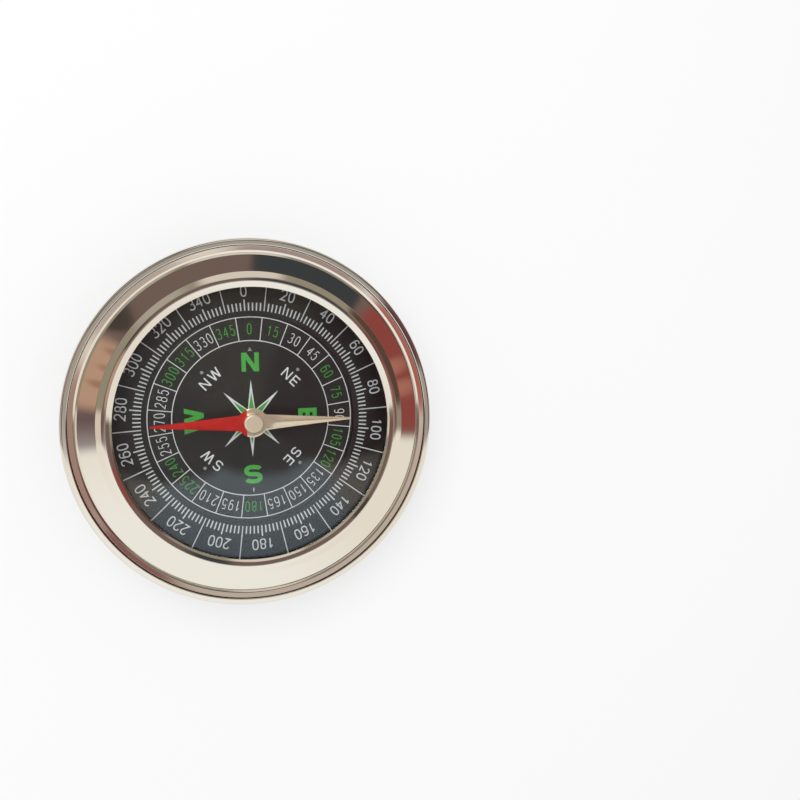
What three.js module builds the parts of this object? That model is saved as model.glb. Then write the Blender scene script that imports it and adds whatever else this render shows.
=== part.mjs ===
// Round dry magnetic compass: polished steel case, black printed dial and a free needle on a point.
// Millimetres. It lies on its back, +Z up, with the dial's north along +Y and the origin at the back's centre.

import * as THREE from 'three';

// Facets
const ROUND_STEPS = 48;
const SMALL_STEPS = 24;
const CURVE_STEPS = 3;

// Clearances
const seatGap = 0.1;
const fitGap = 0.2;
const pointGap = 0.08;

// Case: drawn steel wall with a turned-in foot flange; its front edge is folded in and down to a round rim
const caseRadius = 50;
const caseSheet = 0.6;
const rimWidth = 1.7;
const rimRound = 0.9;
const rimFold = 0.3;
const rimLeg = 1.8;
const footRound = 1.5;
const flangeWidth = 4.5;

// Back cover: pressed disc, its boss flush with the foot flange
const coverSheet = 0.6;
const coverGroove = 0.3;

// Bezel: pressed ring, its widths from the rim inwards and its drops from the crest
const bezelSheet = 0.6;
const rimGroove = 0.3;
const ledgeWidth = 2.1;
const stepWidth = 0.3;
const bandWidth = 4.4;
const shoulderWidth = 2.7;
const lipWidth = 1.5;
const lipDrop = 1.1;
const shoulderDrop = 1;
const bandDrop = 1.1;
const stepDrop = 0.4;
const ledgeFall = 0.25;
const skirtRound = 0.3;
const skirtDepth = 3;
const rimProud = 1.25;

// Glass and its seal
const crystalThickness = 1.2;
const crystalOverlap = 3.2;
const crystalBevel = 0.3;
const crystalSeat = 1.6;
const sealWidth = 0.7;
const sealHeight = 0.7;

// Inner wall between dial and glass
const dialWall = 1.2;
const seatThickness = 0.8;
const dialDepth = 9.3;

// Tray and dial
const trayHeight = 6.6;
const trayDeck = 1.2;
const traySkirt = 1.6;
const dialThickness = 0.5;
const degreeRingWidth = 11.3;

// Pivot post, washer and pin
const postRadius = 1.6;
const postFlangeRadius = 2.6;
const postFlange = 0.5;
const spigotRadius = 1;
const peenRadius = 1.7;
const peenHeight = 0.6;
const washerRadius = 2.9;
const washerThickness = 0.5;
const pinRadius = 0.45;
const pinInset = 2.5;
const pinTaper = 1.1;

// Needle
const needleHalfLength = 27.4;
const needleTipWidth = 0.5;
const needleRootWidth = 4.3;
const hubRadius = 4;
const bladeThickness = 0.4;
const bladeHoleRadius = 1.3;
const capRadius = 2.6;
const capHeight = 2.2;
const capSheet = 0.4;
const capRound = 0.5;
const needleClearance = 0.6;
const jewelMouthRadius = 1;
const jewelDepth = 0.9;

// Radii, from the case wall inwards
const rimEdge = caseRadius - rimWidth;
const footEdge = caseRadius - footRound;
const flangeEdge = footEdge - flangeWidth;
const coverRadius = footEdge - fitGap;
const bossRadius = flangeEdge - coverGroove;
const skirtRadius = rimEdge - rimGroove;
const stepTop = skirtRadius - ledgeWidth - stepWidth;
const shoulderFoot = stepTop - bandWidth;
const crestRadius = shoulderFoot - shoulderWidth;
const apertureRadius = crestRadius - lipWidth;
const crystalRadius = apertureRadius + crystalOverlap;
const sealBore = crystalRadius + fitGap;
const sealRadius = sealBore + sealWidth;
const dialWallBore = sealRadius + fitGap;
const dialWallRadius = dialWallBore + dialWall;
const dialRadius = dialWallBore - fitGap;
const degreeRingBore = dialRadius - degreeRingWidth;
const roseRadius = degreeRingBore - fitGap;
const postHoleRadius = spigotRadius + fitGap;
const jewelRadius = capRadius - capSheet - fitGap;

// Heights, from the table upwards
const coverRim = caseSheet + seatGap;
const coverTop = coverRim + coverSheet;
const trayFoot = coverTop + seatGap;
const deckTop = trayFoot + trayHeight;
const deckUnderside = deckTop - trayDeck;
const dialUnderside = deckTop + seatGap;
const dialFace = dialUnderside + dialThickness;
const crystalSeatTop = dialFace + dialDepth;
const crystalUnderside = crystalSeatTop + seatGap;
const crystalTop = crystalUnderside + crystalThickness;
const lipUnderside = crystalTop + seatGap;
const crest = lipUnderside + bezelSheet + lipDrop;
const shoulderLevel = crest - shoulderDrop;
const bandLevel = shoulderLevel - bandDrop;
const ledgeLevel = bandLevel - stepDrop;
const ledgeEdge = ledgeLevel + ledgeFall;
const skirtEnd = ledgeLevel - skirtDepth;
const rimTop = ledgeEdge + rimProud;

// Heights of the needle, from the glass downwards
const capTop = crystalUnderside - needleClearance;
const capFoot = capTop - capHeight;
const bladeTop = capFoot - seatGap;
const bladeUnderside = bladeTop - bladeThickness;
const jewelTop = capTop - capSheet - seatGap;
const jewelFoot = bladeTop + seatGap;
const pinTip = jewelFoot + jewelDepth - pointGap;
const postFoot = dialFace + seatGap;
const postTop = bladeUnderside - needleClearance;
const washerTop = deckUnderside - seatGap;
const peenTop = washerTop - washerThickness - seatGap;

const compass = new THREE.Group();

function finish(color, roughness, metalness) {
  return new THREE.MeshStandardMaterial({ color, roughness, metalness });
}

const polishedSteel = () => finish(0xd9d5cc, 0.08, 1);
const blackPrint = () => finish(0x141414, 0.4, 0);
const blackPlastic = () => finish(0x101010, 0.6, 0);
const turnedBrass = () => finish(0xc9a95c, 0.3, 1);

function addPiece(name, geometry, material) {
  const piece = new THREE.Mesh(geometry, material);
  piece.name = name;
  compass.add(piece);
}

// A turned piece from its section (radius, height), drawn counter-clockwise
function turned(section, steps = ROUND_STEPS) {
  const points = section.getPoints(CURVE_STEPS);
  const geometry = new THREE.LatheGeometry(points, steps);
  return geometry.rotateX(Math.PI / 2);
}

// A flat ring or washer of square section
function ringSection(bore, radius, bottom, top) {
  const section = new THREE.Path();
  section.moveTo(bore, bottom);
  section.lineTo(radius, bottom);
  section.lineTo(radius, top);
  section.lineTo(bore, top);
  section.closePath();
  return section;
}

function caseSection() {
  const roundRadius = caseRadius - rimRound;
  const roundLevel = rimTop - rimRound;
  const legOutside = rimEdge + caseSheet;
  const legEnd = rimTop - rimLeg;
  const section = new THREE.Path();
  section.moveTo(flangeEdge, 0);
  section.lineTo(footEdge, 0);
  section.absarc(footEdge, footRound, footRound, -Math.PI / 2, 0);
  section.absarc(roundRadius, roundLevel, rimRound, 0, Math.PI / 2);
  section.absarc(rimEdge + rimFold, rimTop - rimFold, rimFold, Math.PI / 2, Math.PI);
  section.lineTo(rimEdge, legEnd);
  section.lineTo(legOutside, legEnd);
  section.lineTo(legOutside, rimTop - caseSheet);
  section.absarc(roundRadius, roundLevel, rimRound - caseSheet, Math.PI / 2, 0, true);
  section.absarc(footEdge, footRound, footRound - caseSheet, 0, -Math.PI / 2, true);
  section.lineTo(flangeEdge, caseSheet);
  section.closePath();
  return section;
}

function coverSection() {
  const section = new THREE.Path();
  section.moveTo(0, 0);
  section.lineTo(bossRadius, 0);
  section.lineTo(bossRadius, coverRim);
  section.lineTo(coverRadius, coverRim);
  section.lineTo(coverRadius, coverTop);
  section.lineTo(bossRadius - coverSheet, coverTop);
  section.lineTo(bossRadius - coverSheet, coverSheet);
  section.lineTo(0, coverSheet);
  return section;
}

// The pressed bezel: underside from the lip out to the skirt, then the show face back to the lip
function bezelSection() {
  const skirtBore = skirtRadius - bezelSheet;
  const ledgeInner = stepTop + stepWidth;
  const ledgeMiddle = ledgeInner + ledgeWidth / 2;
  const lipMiddle = apertureRadius + lipWidth / 2;
  const shoulderMiddle = crestRadius + shoulderWidth / 2;
  const under = (level) => level - bezelSheet;
  const section = new THREE.Path();
  section.moveTo(apertureRadius, lipUnderside);
  section.quadraticCurveTo(lipMiddle, under(crest), crestRadius, under(crest));
  section.quadraticCurveTo(shoulderMiddle, under(crest), shoulderFoot, under(shoulderLevel));
  section.lineTo(stepTop, under(bandLevel));
  section.lineTo(ledgeInner, under(ledgeLevel));
  section.lineTo(skirtBore, under(ledgeLevel));
  section.lineTo(skirtBore, skirtEnd);
  section.lineTo(skirtRadius, skirtEnd);
  section.lineTo(skirtRadius, ledgeEdge - skirtRound);
  section.lineTo(skirtRadius - skirtRound, ledgeEdge);
  section.quadraticCurveTo(ledgeMiddle, ledgeLevel, ledgeInner, ledgeLevel);
  section.lineTo(stepTop, bandLevel);
  section.lineTo(shoulderFoot, shoulderLevel);
  section.quadraticCurveTo(shoulderMiddle, crest, crestRadius, crest);
  section.quadraticCurveTo(lipMiddle, crest, apertureRadius, crest - lipDrop);
  section.closePath();
  return section;
}

function crystalSection() {
  const section = new THREE.Path();
  section.moveTo(0, crystalUnderside);
  section.lineTo(crystalRadius, crystalUnderside);
  section.lineTo(crystalRadius, crystalTop - crystalBevel);
  section.lineTo(crystalRadius - crystalBevel, crystalTop);
  section.lineTo(0, crystalTop);
  return section;
}

// The inner wall stands on the tray, and its inward seat carries the glass and the seal
function dialWallSection() {
  const seatBore = crystalRadius - crystalSeat;
  const section = new THREE.Path();
  section.moveTo(dialWallBore, dialUnderside);
  section.lineTo(dialWallRadius, dialUnderside);
  section.lineTo(dialWallRadius, crystalSeatTop + sealHeight);
  section.lineTo(dialWallBore, crystalSeatTop + sealHeight);
  section.lineTo(dialWallBore, crystalSeatTop);
  section.lineTo(seatBore, crystalSeatTop);
  section.lineTo(seatBore, crystalSeatTop - seatThickness);
  section.lineTo(dialWallBore, crystalSeatTop - seatThickness);
  section.closePath();
  return section;
}

function traySection() {
  const skirtBore = coverRadius - traySkirt;
  const section = new THREE.Path();
  section.moveTo(postHoleRadius, deckUnderside);
  section.lineTo(skirtBore, deckUnderside);
  section.lineTo(skirtBore, trayFoot);
  section.lineTo(coverRadius, trayFoot);
  section.lineTo(coverRadius, deckTop);
  section.lineTo(postHoleRadius, deckTop);
  section.closePath();
  return section;
}

// The post is peened over below the washer and drilled at the top for the pin
function postSection() {
  const socketRadius = pinRadius + pointGap;
  const section = new THREE.Path();
  section.moveTo(0, peenTop - peenHeight);
  section.lineTo(peenRadius, peenTop - peenHeight);
  section.lineTo(peenRadius, peenTop);
  section.lineTo(spigotRadius, peenTop);
  section.lineTo(spigotRadius, postFoot);
  section.lineTo(postFlangeRadius, postFoot);
  section.lineTo(postFlangeRadius, postFoot + postFlange);
  section.lineTo(postRadius, postFoot + postFlange);
  section.lineTo(postRadius, postTop);
  section.lineTo(socketRadius, postTop);
  section.lineTo(socketRadius, postTop - pinInset);
  section.lineTo(0, postTop - pinInset);
  return section;
}

function pinSection() {
  const pinFoot = postTop - pinInset + pointGap;
  const section = new THREE.Path();
  section.moveTo(0, pinFoot);
  section.lineTo(pinRadius, pinFoot);
  section.lineTo(pinRadius, pinTip - pinTaper);
  section.lineTo(0, pinTip);
  return section;
}

function jewelSection() {
  const section = new THREE.Path();
  section.moveTo(0, jewelFoot + jewelDepth);
  section.lineTo(jewelMouthRadius, jewelFoot);
  section.lineTo(jewelRadius, jewelFoot);
  section.lineTo(jewelRadius, jewelTop);
  section.lineTo(0, jewelTop);
  return section;
}

function capSection() {
  const capBore = capRadius - capSheet;
  const section = new THREE.Path();
  section.moveTo(0, capTop - capSheet);
  section.lineTo(capBore, capTop - capSheet);
  section.lineTo(capBore, capFoot);
  section.lineTo(capRadius, capFoot);
  section.lineTo(capRadius, capTop - capRound);
  section.quadraticCurveTo(capRadius, capTop, capRadius - capRound, capTop);
  section.lineTo(0, capTop);
  return section;
}

// The blade's outline: two tapered arms that run out of a round hub, with the bearing hole in the middle
function bladeGeometry() {
  const rootAngle = Math.asin(needleRootWidth / 2 / hubRadius);
  const tip = needleTipWidth / 2;
  const outline = new THREE.Shape();
  outline.moveTo(needleHalfLength, -tip);
  outline.lineTo(needleHalfLength, tip);
  outline.absarc(0, 0, hubRadius, rootAngle, Math.PI - rootAngle);
  outline.lineTo(-needleHalfLength, tip);
  outline.lineTo(-needleHalfLength, -tip);
  outline.absarc(0, 0, hubRadius, Math.PI + rootAngle, 2 * Math.PI - rootAngle);
  outline.closePath();
  const hole = new THREE.Path();
  hole.absarc(0, 0, bladeHoleRadius, 0, 2 * Math.PI);
  outline.holes.push(hole);
  const settings = { depth: bladeThickness, bevelEnabled: false, curveSegments: SMALL_STEPS / 2 };
  const geometry = new THREE.ExtrudeGeometry(outline, settings);
  return geometry.translate(0, 0, bladeUnderside);
}

addPiece('case_body', turned(caseSection()), polishedSteel());
addPiece('back_cover', turned(coverSection()), polishedSteel());
addPiece('inner_tray', turned(traySection()), blackPlastic());

const dialRose = ringSection(postHoleRadius, roseRadius, dialUnderside, dialFace);
addPiece('dial_rose', turned(dialRose), blackPrint());

const degreeRing = ringSection(degreeRingBore, dialRadius, dialUnderside, dialFace);
addPiece('degree_ring', turned(degreeRing), blackPrint());

addPiece('pivot_post', turned(postSection(), SMALL_STEPS), turnedBrass());

const postWasher = ringSection(postHoleRadius, washerRadius, washerTop - washerThickness, washerTop);
addPiece('post_washer', turned(postWasher, SMALL_STEPS), turnedBrass());

addPiece('pivot_pin', turned(pinSection(), SMALL_STEPS), finish(0xb8bcc0, 0.2, 1));
addPiece('jewel_cup', turned(jewelSection(), SMALL_STEPS), finish(0x7c2f3a, 0.15, 0));
addPiece('needle_blade', bladeGeometry(), finish(0xd8cdb8, 0.25, 1));
addPiece('needle_cap', turned(capSection(), SMALL_STEPS), finish(0xd8cdb8, 0.25, 1));
addPiece('dial_wall', turned(dialWallSection()), blackPlastic());

const crystalSeal = ringSection(sealBore, sealRadius, crystalUnderside, crystalSeatTop + sealHeight);
addPiece('crystal_seal', turned(crystalSeal), finish(0x0c0c0c, 0.8, 0));

addPiece('crystal', turned(crystalSection()), finish(0xf2f6f4, 0.02, 0));
addPiece('bezel_ring', turned(bezelSection()), polishedSteel());

export default compass;
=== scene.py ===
# Looks of a round dry magnetic compass in a polished steel case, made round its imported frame.
# Metres, +Z up out of the glass, the dial's north along +Y, the back on the table at the origin.

import math

import bmesh
import bpy
from mathutils import Matrix, Vector


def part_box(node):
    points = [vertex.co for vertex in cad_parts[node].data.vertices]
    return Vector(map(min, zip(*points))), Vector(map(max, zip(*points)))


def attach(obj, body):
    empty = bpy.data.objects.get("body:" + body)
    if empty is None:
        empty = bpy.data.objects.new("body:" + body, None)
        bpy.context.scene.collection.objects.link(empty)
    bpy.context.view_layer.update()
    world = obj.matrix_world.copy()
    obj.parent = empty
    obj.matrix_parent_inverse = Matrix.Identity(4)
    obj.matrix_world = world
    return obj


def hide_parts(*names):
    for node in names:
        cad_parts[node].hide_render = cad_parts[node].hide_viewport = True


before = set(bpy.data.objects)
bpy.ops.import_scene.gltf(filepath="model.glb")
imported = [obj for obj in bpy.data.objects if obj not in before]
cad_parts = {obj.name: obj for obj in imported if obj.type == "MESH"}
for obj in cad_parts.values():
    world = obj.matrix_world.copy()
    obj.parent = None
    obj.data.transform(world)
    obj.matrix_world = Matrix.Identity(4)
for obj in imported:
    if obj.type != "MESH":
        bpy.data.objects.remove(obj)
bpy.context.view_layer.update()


# Case body. A cup wall drawn from stainless sheet, its front edge folded in and down to a round rim and
# its foot turned in to a flat flange that the back closes on; the rim is buffed, the wall satin, and the
# wall's base colour is greyed there as painted shade.
MM = 0.001
MICRON = 0.001 * MM
TURN_STEPS = 288
FILLET_STEP = math.radians(6)
FLAT_GUARD = 0.03 * MM
CREASE = math.radians(35)
SAME_POINT = 0.1 * MICRON
ON_AXIS = 0.001 * MICRON
NOISE_DETAIL = 3.0
NOISE_LOW = 0.3
NOISE_HIGH = 0.7

case_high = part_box("case_body")[1]
case_radius = case_high.x
rim_top = case_high.z
case_sheet = 0.6 * MM
rim_round = 1.0 * MM
rim_edge = case_radius - 1.88 * MM
rim_crown = 0.26 * MM
rim_fold = 0.22 * MM
rim_leg_end = rim_top - 1.8 * MM
foot_round = 1.5 * MM
flange_edge = case_radius - 6.0 * MM
sheet_edge = 0.1 * MM

steel_colour = (0.80, 0.78, 0.745)
# painted shade: the wall's grey base colour below the rim stands in for the darker reflections of a room
wall_painted_shade_grey = (0.40, 0.39, 0.375)
satin_top = rim_top - 1.5 * MM
satin_fade = 0.3 * MM
satin_rough = 0.26
buffed_rough = 0.055
# the wall's turned lines and its painted shade both come from this range
wall_shade_and_lines = (0.36, 0.43)
satin_pitch = 0.18 * MM
satin_length = 250
scratch_pitch = 0.12 * MM
scratch_length = 60
scratch_depth = 0.25 * MICRON
press_wave = 22 * MM
press_depth = 9 * MICRON


def rounded(corners):
    """A closed section from corners (radius, height, fillet), each fillet drawn as a tangent arc."""
    section = []
    for place, (radius, height, fillet) in enumerate(corners):
        corner = Vector((radius, height))
        if fillet == 0:
            section.append(corner)
            continue
        back = (Vector(corners[place - 1][:2]) - corner).normalized()
        ahead = (Vector(corners[(place + 1) % len(corners)][:2]) - corner).normalized()
        opening = back.angle(ahead)
        reach = fillet / math.tan(opening / 2)
        centre = corner + (back + ahead).normalized() * (fillet / math.sin(opening / 2))
        spoke = corner + back * reach - centre
        last = corner + ahead * reach - centre
        sweep = math.atan2(spoke.x * last.y - spoke.y * last.x, spoke.dot(last))
        steps = max(2, math.ceil(abs(sweep) / FILLET_STEP))
        section.append(centre + spoke + back * FLAT_GUARD)
        for step in range(steps + 1):
            section.append(centre + Matrix.Rotation(sweep * step / steps, 2) @ spoke)
        section.append(centre + last + ahead * FLAT_GUARD)
    return section


def smooth_mesh(name, points, faces):
    """A mesh with its faces turned outwards, smooth apart from edges sharper than the crease."""
    mesh = bpy.data.meshes.new(name)
    mesh.from_pydata(points, [], faces)
    shell = bmesh.new()
    shell.from_mesh(mesh)
    bmesh.ops.remove_doubles(shell, verts=shell.verts, dist=SAME_POINT)
    bmesh.ops.recalc_face_normals(shell, faces=shell.faces)
    shell.to_mesh(mesh)
    shell.free()
    mesh.shade_smooth()
    mesh.set_sharp_from_angle(angle=CREASE)
    return mesh


def add_piece(name, mesh, *finishes):
    piece = bpy.data.objects.new(name, mesh)
    for finish in finishes:
        mesh.materials.append(finish)
    bpy.context.scene.collection.objects.link(piece)
    return piece


def turned(name, section, finish, steps=TURN_STEPS):
    """A turned or spun piece: a section (radius, height), closed or ending on the axis, swept round +Z."""
    points = []
    rings = []
    for radius, height in section:
        first = len(points)
        if radius < ON_AXIS:
            points.append((0, 0, height))
            rings.append([first] * steps)
            continue
        for step in range(steps):
            angle = 2 * math.pi * step / steps
            points.append((radius * math.cos(angle), radius * math.sin(angle), height))
        rings.append(list(range(first, first + steps)))
    faces = []
    for ring, following in zip(rings, rings[1:] + rings[:1]):
        for step in range(steps):
            beside = (step + 1) % steps
            corners = dict.fromkeys((ring[step], ring[beside], following[beside], following[step]))
            if len(corners) > 2:
                faces.append(tuple(corners))
    return add_piece(name, smooth_mesh(name, points, faces), finish)


def shader_of(finish):
    return finish.node_tree.nodes["Principled BSDF"]


def new_finish(name, colour, metallic=0, roughness=0.5):
    """A Principled finish whose plain values sit on the shader's own sockets."""
    finish = bpy.data.materials.new(name)
    finish.use_nodes = True
    sockets = shader_of(finish).inputs
    sockets["Base Color"].default_value = (*colour, 1)
    sockets["Metallic"].default_value = metallic
    sockets["Roughness"].default_value = roughness
    return finish


def feed(finish, socket, value):
    """Links a socket to another one, or sets it to a plain number, vector or colour."""
    if isinstance(value, bpy.types.NodeSocket):
        finish.node_tree.links.new(value, socket)
    else:
        socket.default_value = value


def add_node(finish, kind, **values):
    """A node in a finish; values are its inputs by name, plain or as sockets to link."""
    node = finish.node_tree.nodes.new(kind)
    for name, value in values.items():
        feed(finish, node.inputs[name.replace("_", " ")], value)
    return node


def link(finish, socket, name):
    finish.node_tree.links.new(socket, shader_of(finish).inputs[name])


def own_place(finish):
    """Places on the piece itself, in metres."""
    return add_node(finish, "ShaderNodeTexCoord").outputs["Object"]


def mottle(finish, size, stretch=(1, 1, 1), detail=NOISE_DETAIL):
    """Noise with spots of about this size, in metres, drawn out along an axis by a stretch above 1."""
    scale = tuple(1 / share for share in stretch)
    stretched = add_node(finish, "ShaderNodeMapping", Vector=own_place(finish), Scale=scale).outputs[0]
    noise = add_node(finish, "ShaderNodeTexNoise", Vector=stretched, Scale=1 / size, Detail=detail)
    return noise.outputs[0]


def spread(finish, pattern, low, high):
    """The pattern's middle range drawn out from low to high."""
    middle = {"From_Min": NOISE_LOW, "From_Max": NOISE_HIGH}
    drawn = add_node(finish, "ShaderNodeMapRange", Value=pattern, To_Min=low, To_Max=high, **middle)
    return drawn.outputs[0]


def relief(finish, pattern, depth, under=None):
    """A height pattern of this depth, in metres, laid over an earlier relief."""
    values = {"Height": pattern, "Distance": depth, "Strength": 1.0}
    if under:
        values["Normal"] = under
    bump = add_node(finish, "ShaderNodeBump", **values).outputs[0]
    link(finish, bump, "Normal")
    return bump


def blend(finish, factor, under, over):
    """A colour that goes from one to the other with the factor; each is plain or a socket to link."""
    mix = finish.node_tree.nodes.new("ShaderNodeMix")
    mix.data_type = "RGBA"
    feed(finish, mix.inputs[0], factor)
    ends = [socket for socket in mix.inputs if socket.type == "RGBA"]
    for socket, colour in zip(ends, (under, over)):
        feed(finish, socket, (*colour, 1) if isinstance(colour, tuple) else colour)
    return next(socket for socket in mix.outputs if socket.type == "RGBA")


def shades(finish, pattern, dark, light):
    """Colour that wanders between two shades with the pattern."""
    link(finish, blend(finish, spread(finish, pattern, 0, 1), dark, light), "Base Color")


def satin_steel():
    """Stainless steel, buffed at the rim and turned satin on the wall below it; the wall's base colour is
    greyed there as painted shade.
    """
    finish = new_finish("satin_steel", steel_colour, metallic=1, roughness=satin_rough)
    height = add_node(finish, "ShaderNodeSeparateXYZ", Vector=own_place(finish)).outputs["Z"]
    limits = {"Value": height, "From_Min": satin_top - satin_fade, "From_Max": satin_top}
    rough = add_node(finish, "ShaderNodeMapRange", To_Min=satin_rough, To_Max=buffed_rough, **limits)
    link(finish, rough.outputs[0], "Roughness")
    lines = mottle(finish, satin_pitch, (satin_length, satin_length, 1))
    wall_tone = spread(finish, lines, *wall_shade_and_lines)
    tone = add_node(finish, "ShaderNodeMapRange", To_Min=wall_tone, To_Max=1.0, **limits)
    # painted shade: below the rim the steel colour is greyed, with turned lines in it
    shades(finish, tone.outputs[0], wall_painted_shade_grey, steel_colour)
    waves = relief(finish, mottle(finish, press_wave, detail=0), press_depth)
    scratches = mottle(finish, scratch_pitch, (scratch_length, scratch_length, 1))
    relief(finish, scratches, scratch_depth, waves)
    return finish


case_corners = [
    (flange_edge, 0, sheet_edge),
    (case_radius, 0, foot_round),
    (case_radius, rim_top - rim_crown, rim_round),
    (rim_edge, rim_top, rim_fold),
    (rim_edge, rim_leg_end, sheet_edge),
    (rim_edge + case_sheet, rim_leg_end, sheet_edge),
    (rim_edge + case_sheet, rim_top - case_sheet, sheet_edge),
    (case_radius - case_sheet, rim_top - rim_crown - case_sheet, rim_round - case_sheet),
    (case_radius - case_sheet, case_sheet, foot_round - case_sheet),
    (flange_edge, case_sheet, sheet_edge),
]
case_body = turned("case_wall", rounded(case_corners), satin_steel())
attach(case_body, "case")
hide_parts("case_body")


# Back cover. A pressed stainless disc whose boss comes flush with the foot flange, brushed in circles on
# the outside; its rim lies inside the flange and is held by it.
cover_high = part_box("back_cover")[1]
cover_radius = cover_high.x
cover_top = cover_high.z
cover_sheet = 0.6 * MM
boss_radius = flange_edge - 0.3 * MM
boss_round = 0.35 * MM

back_colour = (0.66, 0.65, 0.63)
brush_rough = (0.22, 0.38)
brush_pitch = 0.12 * MM
brush_depth = 1.5 * MICRON


def fed_node(finish, kind, *values, operation=None):
    """A node in a finish; values are its first inputs in order, and operation is what a Math node does."""
    node = finish.node_tree.nodes.new(kind)
    if operation:
        node.operation = operation
    for socket, value in zip(node.inputs, values):
        feed(finish, socket, value)
    return node


def circles(finish, pitch):
    """Noise that runs in circles round +Z, as left by a lathe tool or a turning brush."""
    parts = add_node(finish, "ShaderNodeSeparateXYZ", Vector=own_place(finish)).outputs
    flat = fed_node(finish, "ShaderNodeCombineXYZ", parts["X"], parts["Y"]).outputs[0]
    radius = fed_node(finish, "ShaderNodeVectorMath", flat, operation="LENGTH").outputs["Value"]
    line = fed_node(finish, "ShaderNodeMath", radius, 1 / pitch, operation="MULTIPLY").outputs[0]
    turn = fed_node(finish, "ShaderNodeMath", parts["Y"], parts["X"], operation="ARCTAN2").outputs[0]
    spun = fed_node(finish, "ShaderNodeCombineXYZ", line, turn).outputs[0]
    return add_node(finish, "ShaderNodeTexNoise", Vector=spun, Scale=1.0, Detail=NOISE_DETAIL).outputs[0]


def roughen(finish, pattern, least, most):
    """Roughness that wanders with the pattern; the socket's own value is the middle."""
    shader_of(finish).inputs["Roughness"].default_value = (least + most) / 2
    link(finish, spread(finish, pattern, least, most), "Roughness")


def brushed_steel():
    finish = new_finish("brushed_back_steel", back_colour, metallic=1)
    lines = circles(finish, brush_pitch)
    roughen(finish, lines, *brush_rough)
    relief(finish, lines, brush_depth)
    return finish


cover_corners = [
    (0, 0, 0),
    (boss_radius, 0, boss_round),
    (boss_radius, cover_top - cover_sheet, sheet_edge),
    (cover_radius, cover_top - cover_sheet, sheet_edge),
    (cover_radius, cover_top, sheet_edge),
    (boss_radius - cover_sheet, cover_top, boss_round),
    (boss_radius - cover_sheet, cover_sheet, sheet_edge),
    (0, cover_sheet, 0),
]
back_cover = turned("back_disc", rounded(cover_corners), brushed_steel())
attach(back_cover, "case")
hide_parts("back_cover")


# Inner tray. A black moulded tray that stands on the back cover inside the case and carries the dial; it
# is closed in on all sides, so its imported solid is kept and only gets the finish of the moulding.
mould_black = (0.018, 0.018, 0.019)
mould_shades = ((0.013, 0.013, 0.014), (0.024, 0.024, 0.025))
mould_rough = (0.42, 0.6)
PIT_DEPTH_SHARE = 0.04
tray_grain = 0.5 * MM


def moulded_black(name, grain):
    """Black plastic with the pits of its mould, about as wide as the grain."""
    finish = new_finish(name, mould_black)
    pits = mottle(finish, grain)
    shades(finish, pits, *mould_shades)
    roughen(finish, pits, *mould_rough)
    relief(finish, pits, grain * PIT_DEPTH_SHARE)
    return finish


def finish_node(name, finish):
    """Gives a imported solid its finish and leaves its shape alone."""
    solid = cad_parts[name].data
    solid.materials.clear()
    solid.materials.append(finish)


finish_node("inner_tray", moulded_black("black_moulding", tray_grain))


# Dial. Two thin steel discs in satin black, a rose in the middle and a degree ring round it, printed in
# white and green; they lie on the tray, and the ring was put in with its zero a little left of north.
rose_low, rose_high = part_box("dial_rose")
rose_radius = rose_high.x
ring_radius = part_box("degree_ring")[1].x
ring_bore = rose_radius + 0.2 * MM
dial_face = rose_high.z
dial_underside = rose_low.z
post_hole = 1.2 * MM
dial_edge = 0.05 * MM

dial_black = (0.0105, 0.0105, 0.0115)
dial_deep_black = (0.009, 0.009, 0.0095)
dial_cloud = 16 * MM
dial_rough = (0.36, 0.44)
speck_size = 0.6 * MM
speck_depth = 0.08 * MICRON


def satin_black():
    finish = new_finish("satin_black_dial", dial_black)
    specks = mottle(finish, speck_size, detail=1)
    shades(finish, mottle(finish, dial_cloud), dial_deep_black, dial_black)
    roughen(finish, specks, *dial_rough)
    relief(finish, specks, speck_depth)
    return finish


def disc_section(bore, radius):
    return rounded([
        (bore, dial_underside, 0),
        (radius, dial_underside, 0),
        (radius, dial_face, dial_edge),
        (bore, dial_face, dial_edge),
    ])


dial_finish = satin_black()
rose_disc = turned("rose_disc", disc_section(post_hole, rose_radius), dial_finish)
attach(rose_disc, "case")
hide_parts("dial_rose")
ring_disc = turned("degree_disc", disc_section(ring_bore, ring_radius), dial_finish)
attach(ring_disc, "case")
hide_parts("degree_ring")


# Print on the rose. Screen ink in white, green and grey, two hundredths of a millimetre thick: a star, four
# large letters, four pairs of small ones, and a ring of 24 cells with plain bearings in them.
INK_THICKNESS = 0.02 * MM
OVAL_POWER = 0.8
OVAL_STEP = 12
OVAL_LEAST_STEPS = 4
MITRE_LIMIT = 0.35

rose_shift = Vector((0.54 * MM, 0.39 * MM))
star_spikes = 8
star_tip = 10.9 * MM
star_valley = 2.7 * MM
core_tip = 7.4 * MM
core_valley = 2.25 * MM
cells = 24
cell_inner = 21.9 * MM
cell_outer = 28.45 * MM
cell_line = 0.23 * MM
bearing_foot = 23.65 * MM
bearing_height = 3.0 * MM
bearing_width = 1.28 * MM
bearing_gap = 0.62 * MM
bearing_stroke = 0.21 * MM
green_bearings = (0, 15, 60, 75, 105, 120, 180, 225, 240, 300, 315, 345)
n_cut = 1.15
w_cut = 1.1
main_bearings = {"N": 0, "E": 90, "S": 180, "W": 270}
main_foot = 13.25 * MM
main_height = 5.3 * MM
main_stem = 1.22 * MM
main_widths = {"N": 4.85 * MM, "E": 4.5 * MM, "S": 5.1 * MM, "W": 7.2 * MM}
side_bearings = {"NE": 45, "SE": 135, "SW": 225, "NW": 316.5}
side_foot = 14.55 * MM
side_height = 2.9 * MM
side_stem = 0.37 * MM
side_gap = 0.9 * MM
side_widths = {"N": 2.35 * MM, "E": 2.0 * MM, "S": 2.2 * MM, "W": 3.4 * MM}
dot_bearings = (45, 135, 225, 315)
dot_place = 18.9 * MM
dot_radius = 0.45 * MM
arrow_half = 0.6 * MM
arrow_height = 1.1 * MM
north_mark = 19.0 * MM
south_mark = 19.8 * MM

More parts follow.
